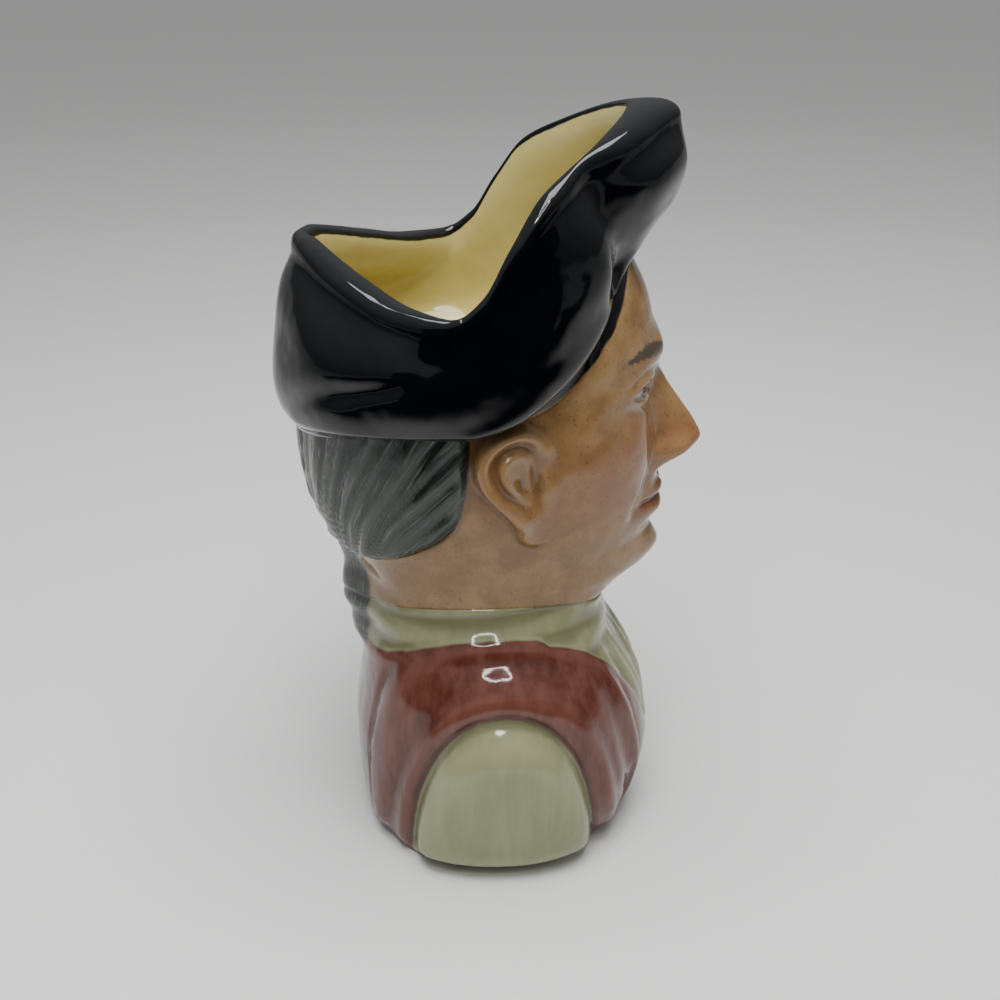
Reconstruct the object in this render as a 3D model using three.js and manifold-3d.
// A slip-cast earthenware character jug: the head and shoulders of a man in a cocked hat, whose
// turned-up brim is the jug's rim. It is one hollow casting, with a plain loop handle on the
// figure's left. Millimetres, +Z up, the figure looks along -Y, and the origin is the middle of the
// flat underside.
import * as THREE from 'three';
import { mergeVertices } from 'three/addons/utils/BufferGeometryUtils.js';
import Module from 'manifold-3d';

// Driving dimensions
const RIM_FRONT = 179.6; // height of the brim's front corner
const BASE_HALF_WIDTH = 40;
const HEAD_HALF_WIDTH = 33;
const HAT_HALF_WIDTH = 43;
const WALL = 4; // thickness of the cast wall
const FLOOR = 5; // thickness of the cast bottom
const GLAZE = new THREE.Color(0.17, 0.15, 0.13);

// The face in equal thirds, from the hairline to the brow, the base of the nose and the chin
const CHIN = 67;
const BROW = 122;
const THIRD = (BROW - CHIN) / 2;
const NOSE_BASE = BROW - THIRD;
const MOUTH = NOSE_BASE - THIRD / 3;
const EYE = { x: 13.4, z: BROW - 6, halfWidth: 6.8, upper: 3.1, lower: 2.5 };
const EAR = { y: -3.2, z: 100.6, lean: 0.16 };

// Mesh density
const COLUMNS = 60;
const BODY_ROWS = 14;
const HEAD_ROWS = 25;
const HAT_ROWS = 9;
const INNER_HAT_ROWS = 4;
const EAR_SIDES = 22;

const { abs, atan2, cos, exp, floor, hypot, max, min, PI, pow, sign, sin } = Math;

/** 0 below a, 1 above b, and an S-curve between. */
function step(a, b, x) {
  const s = min(1, max(0, (x - a) / (b - a)));
  return s * s * (3 - 2 * s);
}

/** A bell of height 1 and spread s. */
const bell = (x, s) => exp((-x * x) / (2 * s * s));

/** The value k of the way from a to b. */
const mix = (a, b, k) => a + (b - a) * k;

/** The smaller of a and b, rounded over a width of k where they cross. */
function softMin(a, b, k) {
  const h = max(0, 1 - abs(a - b) / k);
  return min(a, b) - (h * h * k) / 4;
}

/** A smooth curve through [x, value] pairs in rising x, without overshoot. */
function curve(points) {
  const n = points.length;
  const rise = [];
  for (let i = 0; i < n - 1; i++) {
    rise.push((points[i + 1][1] - points[i][1]) / (points[i + 1][0] - points[i][0]));
  }
  const slope = points.map((_, i) => {
    if (i === 0) return rise[0];
    if (i === n - 1) return rise[n - 2];
    const [a, b] = [rise[i - 1], rise[i]];
    return a * b <= 0 ? 0 : (2 * a * b) / (a + b);
  });
  return (x) => {
    if (x <= points[0][0]) return points[0][1];
    if (x >= points[n - 1][0]) return points[n - 1][1];
    let i = 0;
    while (x > points[i + 1][0]) i++;
    const h = points[i + 1][0] - points[i][0];
    const s = (x - points[i][0]) / h;
    const [s2, s3] = [s * s, s * s * s];
    return (
      (2 * s3 - 3 * s2 + 1) * points[i][1] +
      (s3 - 2 * s2 + s) * h * slope[i] +
      (3 * s2 - 2 * s3) * points[i + 1][1] +
      (s3 - s2) * h * slope[i + 1]
    );
  };
}

/**
 * A point of a rounded plan: a superellipse on each side of the line y = middle. The angle t is 0
 * at the front (-Y) and a quarter turn on the figure's right (-X).
 */
function plan(t, { half, front, back, middle, frontPower, backPower }) {
  const [s, c] = [sin(t), cos(t)];
  const reach = c > 0 ? middle - front : back - middle;
  const e = 2 / (c > 0 ? frontPower : backPower);
  return [-half * sign(s) * pow(abs(s), e), middle - reach * sign(c) * pow(abs(c), e)];
}

// The bust and head as plans stacked up Z
const halfAt = curve([
  [0, BASE_HALF_WIDTH - 1.2],
  [2, BASE_HALF_WIDTH],
  [14, BASE_HALF_WIDTH + 1.4],
  [34, BASE_HALF_WIDTH + 0.8],
  [43, BASE_HALF_WIDTH - 0.8],
  [50, 35.6],
  [56, 31],
  [61, 28],
  [66, 26.4],
  [74, 27],
  [82, 29.4],
  [92, 31.6],
  [104, HEAD_HALF_WIDTH],
  [122, HEAD_HALF_WIDTH + 0.2],
  [136, HEAD_HALF_WIDTH - 1.4],
  [150, HEAD_HALF_WIDTH - 4],
]);
const frontAt = curve([
  [0, -29],
  [2, -30.6],
  [12, -35],
  [22, -36.8],
  [34, -34.6],
  [46, -29.4],
  [54, -26.2],
  [60, -26],
  [CHIN - 3, -30.5],
  [CHIN + 2, -35.4],
  [CHIN + 8, -36.8],
  [MOUTH + 2, -37],
  [NOSE_BASE + 4, -37],
  [BROW - 8, -36.6],
  [BROW + 2, -36.4],
  [136, -34.2],
  [147, -29.2],
]);
const backAt = curve([
  [0, 33],
  [2, 34.4],
  [12, 35.8],
  [26, 36.2],
  [40, 34.4],
  [50, 33.2],
  [66, 33.2],
  [74, 36.6],
  [82, 41.4],
  [90, 44.6],
  [100, 46],
  [112, 46.4],
]);
const frontPowerAt = curve([
  [0, 2.3],
  [30, 2.25],
  [56, 2.1],
  [CHIN, 1.72],
  [MOUTH, 1.9],
  [104, 2.15],
  [124, 2.1],
  [147, 1.85],
]);
const backPowerAt = curve([
  [0, 2.35],
  [40, 2.3],
  [66, 2.1],
  [110, 2.15],
]);
const middleAt = curve([
  [0, 1],
  [40, 1],
  [66, 4],
  [110, 7],
]);

/** The plan of the bust and head at height z. */
const bodyPlan = (z) => ({
  half: halfAt(z),
  front: frontAt(z),
  back: backAt(z),
  middle: middleAt(z),
  frontPower: frontPowerAt(z),
  backPower: backPowerAt(z),
});

// The hat's outside as plans from its lower edge, 0, to the groove under its rolled rim, 1
const hatHalf = curve([
  [0, HAT_HALF_WIDTH - 4.6],
  [0.1, HAT_HALF_WIDTH - 1.8],
  [0.3, HAT_HALF_WIDTH - 0.3],
  [0.6, HAT_HALF_WIDTH],
  [1, HAT_HALF_WIDTH - 1.4],
]);
const hatFront = curve([
  [0, -29.6],
  [0.06, -31],
  [0.14, -33],
  [0.42, -38],
  [0.72, -40],
  [1, -38.4],
]);
const hatBack = curve([
  [0, 49.6],
  [0.08, 51.6],
  [0.35, 53.2],
  [0.65, 52],
  [1, 47.8],
]);
const hatFrontPower = curve([
  [0, 1.66],
  [0.4, 1.54],
  [1, 1.42],
]);
const hatBackPower = curve([
  [0, 2.1],
  [0.5, 1.85],
  [1, 1.5],
]);
const HAT_MIDDLE = 10;

/** The plan of the hat's outside at share f of its height. */
const hatPlan = (f) => ({
  half: hatHalf(f),
  front: hatFront(f),
  back: hatBack(f),
  middle: HAT_MIDDLE,
  frontPower: hatFrontPower(f),
  backPower: hatBackPower(f),
});

// The jug's mouth inside the rolled rim, and the crest of the rim
const MOUTH_PLAN = { half: 37.6, front: -27.6, back: 41, middle: 10, frontPower: 1.52, backPower: 1.12 };
const CREST_PLAN = { half: 40, front: -35, back: 43.2, middle: 10, frontPower: 1.36, backPower: 1.2 };

// Heights along the figure's length: the hat's lower edge, and the crest of its brim
const hatEdgeOver = curve([
  [-30, 147.4],
  [-24, 141.6],
  [-16, 132],
  [-8, 124.6],
  [0, 118.6],
  [9, 115.2],
  [22, 114],
  [36, 111.5],
  [50, 107],
]);
const crestOver = curve([
  [-35, RIM_FRONT],
  [-27, RIM_FRONT - 3.6],
  [-18, 171.4],
  [-8, 165.8],
  [0, 155.4],
  [6, 145.8],
  [12, 141.6],
  [20, 142.4],
  [30, 146],
  [41, 151],
]);

/** Height of the neckcloth's upper edge, where the neck rises from it, at angle t. */
function neckHeight(t) {
  const c = cos(t);
  return 66.5 - (c > 0 ? 6.5 : 5.5) * c * c;
}

/** Height of the coat's upper edge at angle t, before the lapels fall away. */
function coatTop(t) {
  const c = cos(t);
  return 59.5 - (c > 0 ? 4.5 : 10.5) * c * c;
}

/** Height of the hat's lower edge at angle t. */
const hatEdge = (t) => hatEdgeOver(plan(t, hatPlan(0))[1]);

/** Height of the rim's crest at angle t. */
const crestHeight = (t) => crestOver(plan(t, CREST_PLAN)[1]);

/** How far inside a cut sleeve a point is: an arch on each side of the bust. */
function sleeve(x, y, z) {
  const q = pow(pow(abs((y - 0.9) / 22.8), 2.2) + pow(max(0, z) / 43.4, 2.2), 1 / 2.2);
  return (1 - q) * 30 - 60 * step(24, 8, abs(x));
}

// Half the gap between the lapels at each height
const lapelGap = curve([
  [6, 0],
  [13, 4],
  [22, 9.4],
  [34, 14],
  [44, 18.4],
  [52, 23],
  [58, 28],
]);

/** How far inside the coat a point of the bust is; negative on the neckcloth. */
function coat(t, x, y, z) {
  const aside = abs(x) - lapelGap(z) + 1.2 * max(0, y + 10);
  return softMin(coatTop(t) - z, aside, 4);
}

// The hair's front edge, y at each height, and its lower edge, z at each y
const hairFront = curve([
  [78, 23],
  [83, 17.6],
  [88, 13],
  [96, 9.8],
  [106, 8.6],
  [116, 8.2],
]);
const hairFoot = curve([
  [12, 83.5],
  [20, 80.6],
  [28, 77.4],
  [38, 74],
  [46, 71],
]);

/** How far inside the hair a point of the head is; negative on the skin. */
const hair = (y, z) => softMin(y - hairFront(z), z - hairFoot(y), 8);

/** Height of the combed locks, which run together at the tie behind the neck. */
function locks(x, y, z) {
  const turn = atan2(38 - y, z - 64) * 10 + abs(x) * 0.22;
  return 0.9 * cos(turn);
}

/** How far a point is outside the ear's outline, at u behind its middle and v above. */
function earEdge(u, v) {
  const k = step(-12, 6, v);
  const over = v > 6 ? v - 6 : min(0, v + 12);
  return hypot(u - mix(-2.2, 0.6, k), over) - mix(4.8, 9.2, k);
}

/** Height of the ear above the side of the head: its flare, rim, inner fold, bowl and two small flaps. */
function earHeight(u, v) {
  const edge = earEdge(u, v);
  const rear = step(-7.5, -3, u - 0.3 * max(0, v - 6));
  let h = mix(1.6, 4.8, step(-8, 8, u));
  h += 1.6 * bell(edge + 1.9, 1.2) * max(rear, step(4, 8, v)) * step(-13, -8, v);
  h -= 1.3 * bell(edge + 4.3, 1) * rear * step(-6, 0, v);
  h += 1.2 * bell(edge + 6.3, 1) * step(-4, 0, u) * step(-8, -3, v);
  h -= 3.6 * bell(hypot(u + 1.6, (v + 0.6) / 1.6), 2.6);
  h += 2 * bell(hypot(u + 6.6, v + 2.4), 1.9);
  h += 0.9 * bell(hypot(u + 1.6, v + 8.6), 1.7);
  return h;
}

// The face's middle line: how far the nose, lips and chin stand forward of the plain head
const ridgeAt = curve([
  [CHIN - 3, 0],
  [CHIN + 1, 2.2],
  [CHIN + 4.6, 3.4],
  [CHIN + 8, 1.6],
  [CHIN + 10.4, 0],
  [CHIN + 13, 0.6],
  [NOSE_BASE - 7, 1],
  [NOSE_BASE - 1.4, 1.6],
  [NOSE_BASE + 0.4, 4.6],
  [NOSE_BASE + 2.6, 10],
  [NOSE_BASE + 5, 12],
  [NOSE_BASE + 8, 10.8],
  [NOSE_BASE + 14, 7.2],
  [BROW - 7, 3.4],
  [BROW - 3.4, 1.8],
  [BROW + 2, 1.8],
  [BROW + 9, 0],
]);
const ridgeWidth = curve([
  [CHIN, 8.5],
  [CHIN + 10, 9],
  [NOSE_BASE - 5, 9],
  [NOSE_BASE - 1, 5.4],
  [NOSE_BASE + 4, 4.6],
  [NOSE_BASE + 9, 3.7],
  [BROW - 8, 3.5],
  [BROW - 3, 5],
  [BROW + 3, 7],
]);

/** How far an eye stands forward in its socket, at u across from its middle and v up. */
function eye(u, v) {
  const open = 1 - (u / EYE.halfWidth) ** 2 - abs(v) / (v > 0 ? EYE.upper : EYE.lower);
  let h = -4.4 * bell(hypot(u / 1.5, v * 0.95), 4.6);
  h += 3.7 * bell(hypot(u / 1.25, v), 3.9);
  h += 0.7 * bell(open + 0.28, 0.2) * step(9, 6, abs(u));
  h -= 0.5 * step(-0.1, 0.12, open);
  return h;
}

/** How far the face's features stand forward of the plain head, at x across and z up. */
function face(x, z) {
  const s = abs(x);
  let h = ridgeAt(z) * exp(-pow(s / (ridgeWidth(z) * 1.25), 2.3));
  // brow ridge and the forehead's two swells
  h += 1.7 * bell(z - BROW - 1.5 + 0.011 * s * s, 2.9) * step(1, 8, s) * step(30, 18, s);
  h += 0.6 * bell(s - 12, 7) * bell(z - BROW - 13, 6);
  h += eye(s - EYE.x, z - EYE.z);
  // wings of the nose, and the fold from each down to the corner of the mouth
  h += 4.2 * bell(hypot(s - 6.4, (z - NOSE_BASE - 2.8) * 0.9), 2.3);
  h -= 1 * bell(s - 10.6 - 0.36 * (NOSE_BASE + 1 - z), 1.6) * bell(z - MOUTH - 5.4, 4.6);
  // lips, the groove above them and the dimples beside them
  h += 2 * bell(z - MOUTH - 2.2, 1.35) * step(12.5, 5, s);
  h += 2.3 * bell(z - MOUTH + 2.5, 1.75) * step(11.5, 5, s);
  h -= 1 * bell(z - MOUTH + 0.1 - 0.004 * s * s, 0.75) * step(12.5, 9.5, s);
  h -= 0.8 * bell(s, 1.3) * bell(z - MOUTH - 5.4, 2.2);
  h -= 1.3 * bell(hypot(s - 12.6, z - MOUTH), 2);
  // cheekbones and cheeks
  h += 1.4 * bell(s - 21, 6) * bell(z - NOSE_BASE - 9, 6.5);
  h += 0.8 * bell(s - 18, 6) * bell(z - MOUTH - 2, 7);
  return h;
}

/** The neckcloth's soft windings round the neck, and the pleats that fall from its knot. */
function neckcloth(x, y, z) {
  const pleats = 0.9 * cos(x * 0.7) * step(52, 44, z) * step(-10, -20, y);
  const swell = 1 * bell(z - 36, 9) * step(-10, -24, y);
  return pleats + swell + 0.5 * sin((z - 51) * 0.85) * step(48, 54, z);
}

/** The soft folds of the coat round the cut sleeves. */
function coatFolds(x, y, z) {
  const ring = -sleeve(x, y, z);
  return 0.8 * sin(ring * 0.5 + 0.3 + y * 0.05) * step(0.5, 4, ring) * step(28, 14, ring);
}

/** A point on the outside of the bust and head, at angle t and height z, with the neck above height neck. */
function bodyPoint(t, z, neck) {
  const shape = bodyPlan(z);
  let [x, y] = plan(t, shape);
  const facing = step(0.12, 0.5, cos(t));
  let out = 0;
  if (z > neck) {
    const inHair = cos(t) < 0.3 ? hair(y, z) : -30;
    out += 2.6 * step(-1, 2.4, inHair) + locks(x, y, z) * step(0.5, 4, inHair);
    y -= face(x, z) * facing * step(neck, neck + 4, z);
  } else {
    const onCoat = coat(t, x, y, z);
    const onSleeve = sleeve(x, y, z);
    out += 1.4 * step(-1.4, 1.4, onCoat) + coatFolds(x, y, z) * step(1, 5, onCoat);
    out += neckcloth(x, y, z) * step(0.5, -2.5, onCoat);
    out += 0.6 * step(0, 4, onSleeve) - 1.1 * bell(onSleeve, 1.8);
    out *= step(0, 6, z);
  }
  // the tied tail of hair, over the neckcloth and into the collar
  const tail = step(45, 50, z) * step(82, 72, z) * step(-0.5, -0.8, cos(t));
  out += 5.4 * tail * bell(x, 4.4);
  const n = hypot(x, y - shape.middle) || 1;
  return [x + (out * x) / n, y + (out * (y - shape.middle)) / n, z];
}

/** The turned-up brim's own shape, out from its plain plan: t from the front, f up the hat. */
function brim(t, f) {
  const a = abs(t > PI ? t - 2 * PI : t);
  let h = 2 * bell(a, 0.17) * step(0.05, 0.4, f); // the front corner
  h -= 2.6 * bell(a - 0.5, 0.15) * step(0, 0.3, f); // the valley behind it
  h += 1.8 * bell(a - 0.98, 0.26) * bell(f - 0.4, 0.32); // the side flap's swell
  h -= 1 * bell(a - 1.5, 0.2) * bell(f - 0.7, 0.25);
  h += 0.8 * bell(a - 2.2, 0.4) * bell(f - 0.45, 0.3);
  h -= 0.9 * step(0.82, 1, f); // the groove under the rolled rim
  return h;
}

/** A point on the outside of the hat, at angle t and share f of the way from its edge to its rim. */
function hatPoint(t, f) {
  const low = hatEdge(t);
  const z = mix(low, crestHeight(t) - 3.4, f);
  const [bx, by] = bodyPoint(t, low, 0);
  const [hx, hy] = plan(t, hatPlan(f));
  const k = f === 0 ? 0.16 : step(-0.12, 0.12, f);
  const [x, y] = [mix(bx, hx, k), mix(by, hy, k)];
  const n = hypot(x, y - HAT_MIDDLE) || 1;
  const h = brim(t, f);
  return [x + (h * x) / n, y + (h * (y - HAT_MIDDLE)) / n, z];
}

/** A point of the rolled rim, from the groove below it, 0, to its crest, 1. */
function rimPoint(t, s) {
  const [ax, ay, az] = hatPoint(t, 1);
  const [bx, by] = plan(t, CREST_PLAN);
  const n = hypot(ax, ay - HAT_MIDDLE) || 1;
  const bulge = 1.2 * (1 - s) * s * 4;
  const [x, y] = [mix(ax, bx, s * s), mix(ay, by, s * s)];
  const z = mix(az, crestHeight(t), 1 - (1 - s) ** 1.8);
  return [x + (bulge * ax) / n, y + (bulge * (ay - HAT_MIDDLE)) / n, z];
}

// The hollow's plans stacked up Z
const innerHalf = curve([
  [FLOOR, 29],
  [FLOOR + 3, 34],
  [16, BASE_HALF_WIDTH - WALL + 1],
  [38, BASE_HALF_WIDTH - WALL],
  [48, 31.4],
  [58, 24.6],
  [66, 22],
  [78, 23.6],
  [92, 27],
  [108, 29],
  [124, 31],
]);
const innerFront = curve([
  [FLOOR, -21],
  [FLOOR + 3, -26],
  [20, -32],
  [38, -29],
  [46, -24.8],
  [54, -21.6],
  [60, -21.2],
  [66, -24.4],
  [73, -29.4],
  [90, -31.6],
  [124, -31.6],
  [138, -28],
  [147, -25],
]);
const innerBack = curve([
  [FLOOR, 24],
  [FLOOR + 3, 29],
  [20, 33],
  [50, 29.6],
  [68, 29.6],
  [80, 35.6],
  [94, 41.5],
  [110, 43.4],
]);

// Heights of the rings inside the head, neck and bust
const INNER_HEIGHTS = [100, 85, 75, 68, 61, 54, 45, 30, 15, FLOOR];

/** A point on the inside of the hat at angle t: f is 1 at the mouth and falls towards its lower edge. */
function innerHatPoint(t, f) {
  const shape = hatPlan(f);
  const [ox, oy] = plan(t, {
    ...shape,
    half: shape.half - WALL,
    front: shape.front + WALL + 1.4,
    back: shape.back - WALL - 0.6,
  });
  const [mx, my] = plan(t, MOUTH_PLAN);
  const k = step(0.5, 1, f);
  return [mix(ox, mx, k), mix(oy, my, k), mix(hatEdge(t), crestHeight(t) - 1.6, f)];
}

/** A point on the inside of the bust and head, at angle t and height z. */
function innerPoint(t, z) {
  const [x, y] = plan(t, {
    half: innerHalf(z),
    front: innerFront(z),
    back: innerBack(z),
    middle: middleAt(z),
    frontPower: frontPowerAt(z),
    backPower: backPowerAt(z),
  });
  return [x, y, z];
}

/** The columns' angles, closer together over the face. */
function columnAngles() {
  const SAMPLES = 1440;
  const shares = [0];
  for (let i = 0; i < SAMPLES; i++) {
    const t = (2 * PI * (i + 0.5)) / SAMPLES;
    const a = min(t, 2 * PI - t);
    const density = 1 + 1.2 * step(1.2, 0.7, a);
    shares.push(shares[i] + density);
  }
  const total = shares[SAMPLES];
  return Array.from({ length: COLUMNS }, (_, k) => {
    const want = (total * k) / COLUMNS;
    const i = shares.findIndex((s) => s > want) - 1;
    return (2 * PI * (i + (want - shares[i]) / (shares[i + 1] - shares[i]))) / SAMPLES;
  });
}

/** All rings of the jug from the edge of the underside, over the rim and down to the floor inside. */
function rings() {
  const angles = columnAngles();
  const ring = (point) => angles.map(point);
  const made = [];
  for (let i = 0; i <= BODY_ROWS; i++) {
    const f = i / BODY_ROWS;
    made.push(ring((t) => bodyPoint(t, neckHeight(t) * mix(f, f * f, 0.25), neckHeight(t))));
  }
  for (let i = 0; i <= HEAD_ROWS; i++) {
    const f = i / HEAD_ROWS;
    const front = (t) => 0.11 * max(0, cos(t)) * sin(PI * f) ** 2;
    const z = (t) => mix(neckHeight(t), hatEdge(t), f - front(t));
    made.push(ring((t) => bodyPoint(t, max(z(t), neckHeight(t) + 0.15), neckHeight(t))));
  }
  for (let i = 0; i <= HAT_ROWS; i++) made.push(ring((t) => hatPoint(t, (i / HAT_ROWS) ** 1.25)));
  for (const s of [0.45, 1]) made.push(ring((t) => rimPoint(t, s)));
  for (let i = 0; i < INNER_HAT_ROWS; i++) {
    made.push(ring((t) => innerHatPoint(t, 1 - i / INNER_HAT_ROWS)));
  }
  made.push(ring((t) => innerPoint(t, hatEdge(t) - 1)));
  for (const z of INNER_HEIGHTS) made.push(ring((t) => innerPoint(t, z)));
  return made;
}

/** Joins rings into one closed skin, with a point in the middle of the underside and of the floor. */
function skin(ringList) {
  const positions = [0, 2, 0];
  for (const ring of ringList) for (const p of ring) positions.push(...p);
  const last = ringList.length * COLUMNS + 1;
  positions.push(0, 2, FLOOR);
  const index = [];
  const at = (row, i) => 1 + row * COLUMNS + (i % COLUMNS);
  for (let i = 0; i < COLUMNS; i++) {
    index.push(0, at(0, i), at(0, i + 1));
    for (let row = 0; row < ringList.length - 1; row++) {
      index.push(at(row, i), at(row + 1, i), at(row + 1, i + 1));
      index.push(at(row, i), at(row + 1, i + 1), at(row, i + 1));
    }
    index.push(last, at(ringList.length - 1, i + 1), at(ringList.length - 1, i));
  }
  const geometry = new THREE.BufferGeometry();
  geometry.setAttribute('position', new THREE.Float32BufferAttribute(positions, 3));
  geometry.setIndex(index);
  return geometry;
}

/** How far the plain head reaches to the side at y and z, forward of its middle. */
function sideAt(y, z) {
  const { half, front, back, middle, frontPower } = bodyPlan(z);
  const reach = y < middle ? middle - front : back - middle;
  return half * pow(max(0, 1 - pow(abs(y - middle) / reach, frontPower)), 1 / frontPower);
}

/** An ear as a solid on the head's side, -1 for the figure's right and 1 for their left. */
function ear(side) {
  const rings = [1.06, 1.02, 0.9, 0.76, 0.6, 0.42, 0.22];
  const positions = [];
  const place = (u, v, height) => {
    const y = EAR.y + u * cos(EAR.lean) + v * sin(EAR.lean);
    const z = EAR.z - u * sin(EAR.lean) + v * cos(EAR.lean);
    positions.push(side * (sideAt(y, z) + height - 0.6), y, z);
  };
  place(0, 0, -1.2);
  for (const [row, share] of rings.entries()) {
    for (let i = 0; i < EAR_SIDES; i++) {
      const a = (2 * PI * i) / EAR_SIDES;
      let reach = 30;
      for (let k = 0; k < 24; k++) reach -= max(0, earEdge(reach * cos(a), reach * sin(a))) * 0.8;
      const [u, v] = [reach * share * cos(a), reach * share * sin(a)];
      place(u, v, row === 0 ? -1.2 : earHeight(u, v) * (row === 1 ? 0.6 : 1));
    }
  }
  place(0, 0, earHeight(0, 0));
  const index = [];
  const at = (row, i) => 1 + row * EAR_SIDES + (i % EAR_SIDES);
  const face = (a, b, c) => index.push(...(side > 0 ? [a, b, c] : [a, c, b]));
  for (let i = 0; i < EAR_SIDES; i++) {
    face(0, at(0, i + 1), at(0, i));
    for (let row = 0; row < rings.length - 1; row++) {
      face(at(row, i), at(row, i + 1), at(row + 1, i + 1));
      face(at(row, i), at(row + 1, i + 1), at(row + 1, i));
    }
    face(at(rings.length, 0), at(rings.length - 1, i), at(rings.length - 1, i + 1));
  }
  const geometry = new THREE.BufferGeometry();
  geometry.setAttribute('position', new THREE.Float32BufferAttribute(positions, 3));
  geometry.setIndex(index);
  return geometry;
}

// The handle's middle line on the figure's left, from the hat down to the shoulder
const HANDLE_Y = 11;
const HANDLE_PATH = [
  [40.4, 120.8],
  [47, 123],
  [58, 123.5],
  [68, 117],
  [72.5, 103],
  [71.5, 86],
  [65, 69],
  [54, 57],
  [44, 50],
  [35.4, 45.4],
];

/** The loop handle: a flattened roll of clay, thicker at its two ends. */
function handle() {
  const path = new THREE.CatmullRomCurve3(HANDLE_PATH.map(([x, z]) => new THREE.Vector3(x, HANDLE_Y, z)));
  const section = new THREE.Shape();
  const SIDES = 10;
  for (let i = 0; i < SIDES; i++) {
    const a = (2 * PI * i) / SIDES;
    const [sx, sy] = [4.2 * cos(a), 5.8 * sin(a)];
    if (i === 0) section.moveTo(sx, sy);
    else section.lineTo(sx, sy);
  }
  return new THREE.ExtrudeGeometry(section, { steps: 22, extrudePath: path, bevelEnabled: false });
}

const wasm = await Module();
wasm.setup();

/** A three.js geometry as a solid. */
function solid(geometry) {
  const bare = geometry.clone();
  bare.deleteAttribute('normal');
  bare.deleteAttribute('uv');
  const merged = mergeVertices(bare, 1e-4);
  return new wasm.Manifold(
    new wasm.Mesh({
      numProp: 3,
      vertProperties: new Float32Array(merged.attributes.position.array),
      triVerts: new Uint32Array(merged.index.array),
    }),
  );
}

/** A solid as a three.js geometry. */
function toGeometry(body) {
  const mesh = body.getMesh();
  const geometry = new THREE.BufferGeometry();
  geometry.setAttribute('position', new THREE.BufferAttribute(new Float32Array(mesh.vertProperties), 3));
  geometry.setIndex(new THREE.BufferAttribute(new Uint32Array(mesh.triVerts), 1));
  geometry.computeVertexNormals();
  return geometry;
}

const cast = solid(skin(rings()))
  .add(solid(ear(-1)))
  .add(solid(ear(1)))
  .add(solid(handle()));
const jug = new THREE.Mesh(
  toGeometry(cast),
  new THREE.MeshStandardMaterial({ color: GLAZE, roughness: 0.12, metalness: 0 }),
);
jug.name = 'jug';

const group = new THREE.Group();
group.add(jug);

export default group;
